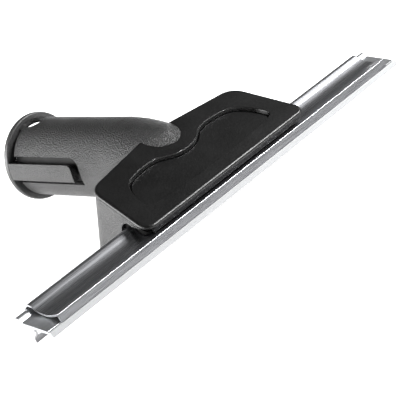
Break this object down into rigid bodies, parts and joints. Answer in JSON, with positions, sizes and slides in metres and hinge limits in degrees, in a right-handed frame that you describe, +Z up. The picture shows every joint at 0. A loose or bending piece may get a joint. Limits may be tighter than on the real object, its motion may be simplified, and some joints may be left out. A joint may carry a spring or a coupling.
{
  "type": "window cleaning squeegee",
  "caption": "Window squeegee head: moulded body with a pole socket, sloping cover with a recessed panel, and an aluminium rail holding a slide-in wiping blade.",
  "frame": {"origin": "on the bench under the middle of the part's box", "axes": "+X along the blade, +Y out of the socket's mouth, +Z up from the flat underside"},
  "size_m": [0.28, 0.1536, 0.0494],
  "materials": {
    "housing_plastic": "black plastic with a coarse moulded grain",
    "cover_plastic": "black plastic with a fine satin grain",
    "inlay_plastic": "fine satin black panel",
    "saddle_plastic": "plain black plastic",
    "jaw_plastic": "black plastic with a coarse moulded grain",
    "sleeve_plastic": "satin black plastic",
    "rail_aluminium": "clear anodised, drawn along its length",
    "carrier_aluminium": "clear anodised, drawn along its length",
    "lip_rubber": "pale smooth rubber",
    "rear_lip_rubber": "grey smooth rubber",
    "screw_steel": "zinc plated",
    "insert_brass": "turned brass"
  },
  "bodies": {
    "head": {"head_housing": "housing_plastic", "top_cover": "cover_plastic", "cover_inlay": "inlay_plastic", "rail_saddle": "saddle_plastic", "clamp_jaw": "jaw_plastic", "upper_rail": "rail_aluminium", "locking_sleeve": "sleeve_plastic", "clamp_screw_1": "screw_steel", "clamp_screw_2": "screw_steel", "clamp_screw_3": "screw_steel", "clamp_screw_4": "screw_steel", "thread_insert_1": "insert_brass", "thread_insert_2": "insert_brass", "thread_insert_3": "insert_brass", "thread_insert_4": "insert_brass", "cover_screw_1": "screw_steel", "cover_screw_2": "screw_steel"},
    "tongue_left": {"latch_tongue_left": "sleeve_plastic"},
    "tongue_right": {"latch_tongue_right": "sleeve_plastic"},
    "blade": {"blade_carrier": "carrier_aluminium"},
    "front_lip": {"wiping_lip": "lip_rubber"},
    "rear_lip": {"rear_lip": "rear_lip_rubber"}
  },
  "joints": [
    {"name": "blade_slide", "type": "slide", "parent": "head", "child": "blade", "axis": [1, 0, 0], "range_m": [-0.27, 0.27]},
    {"name": "wiping_lip_flex", "type": "hinge", "parent": "blade", "child": "front_lip", "pos_m": [0, -0.07509, 0.01242], "axis": [1, 0, 0], "range_deg": [-20, 20], "stiffness_Nm_per_rad": 0.2},
    {"name": "rear_lip_flex", "type": "hinge", "parent": "blade", "child": "rear_lip", "pos_m": [0, -0.06548, 0.0125], "axis": [1, 0, 0], "range_deg": [-12, 12], "stiffness_Nm_per_rad": 0.15},
    {"name": "latch_left_flex", "type": "hinge", "parent": "head", "child": "tongue_left", "pos_m": [-0.0219, 0.07315, 0.0247], "axis": [0, 0, 1], "range_deg": [-2, 1.5], "stiffness_Nm_per_rad": 5},
    {"name": "latch_right_flex", "type": "hinge", "parent": "head", "child": "tongue_right", "pos_m": [0.0219, 0.07315, 0.0247], "axis": [0, 0, 1], "range_deg": [-1.5, 2], "stiffness_Nm_per_rad": 5}
  ]
}
